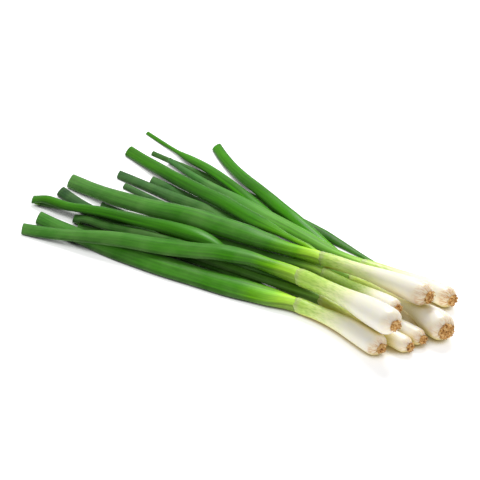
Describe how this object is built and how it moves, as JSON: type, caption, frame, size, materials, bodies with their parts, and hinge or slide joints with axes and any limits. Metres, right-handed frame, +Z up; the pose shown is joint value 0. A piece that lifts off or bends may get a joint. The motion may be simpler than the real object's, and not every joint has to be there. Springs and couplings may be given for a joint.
{
  "type": "spring onion bunch",
  "caption": "Loose bunch of fresh spring onions lying flat: white bulbs with cut roots at one end, long hollow green leaves fanned out and trimmed straight at the other.",
  "frame": {"origin": "on the table, under the middle of the bunch's box", "axes": "+X towards the bulbs and roots, -X towards the cut leaf tips, +Y to the far side of the bunch, +Z up"},
  "size_m": [0.3574, 0.2008, 0.033],
  "materials": {
    "white_shank": "moist, smooth, slightly translucent bulb and shank, cream white",
    "root_plate": "dry tan brown root plate with cut root stubs",
    "green_leaf": "smooth fresh leaf, satin, yellow green at its base and deep green along it",
    "young_leaf": "smooth young leaf, satin, bright green",
    "waxy_leaf": "older leaf with a dull bluish bloom of wax"
  },
  "bodies": {
    "root": {"onion_5_leaf_1": "green_leaf", "onion_1_bulb": "white_shank", "onion_1_roots": "root_plate", "onion_1_leaf_1": "green_leaf", "onion_1_leaf_2": "green_leaf", "onion_2_bulb": "white_shank", "onion_2_roots": "root_plate", "onion_2_leaf_1": "waxy_leaf", "onion_2_leaf_2": "green_leaf", "onion_3_bulb": "white_shank", "onion_3_roots": "root_plate", "onion_3_leaf_1": "waxy_leaf", "onion_3_leaf_2": "waxy_leaf", "onion_4_bulb": "white_shank", "onion_4_roots": "root_plate", "onion_4_leaf_1": "waxy_leaf", "onion_4_leaf_2": "waxy_leaf", "onion_4_leaf_3": "young_leaf", "onion_5_bulb": "white_shank", "onion_5_roots": "root_plate", "onion_5_leaf_2": "young_leaf", "onion_5_leaf_3": "waxy_leaf", "onion_6_bulb": "white_shank", "onion_6_roots": "root_plate", "onion_6_leaf_1": "green_leaf", "onion_7_bulb": "white_shank", "onion_7_roots": "root_plate", "onion_7_leaf_1": "young_leaf", "onion_7_leaf_2": "green_leaf", "onion_8_bulb": "white_shank", "onion_8_roots": "root_plate", "onion_8_leaf_1": "green_leaf", "onion_8_leaf_2": "young_leaf"}
  },
  "joints": []
}
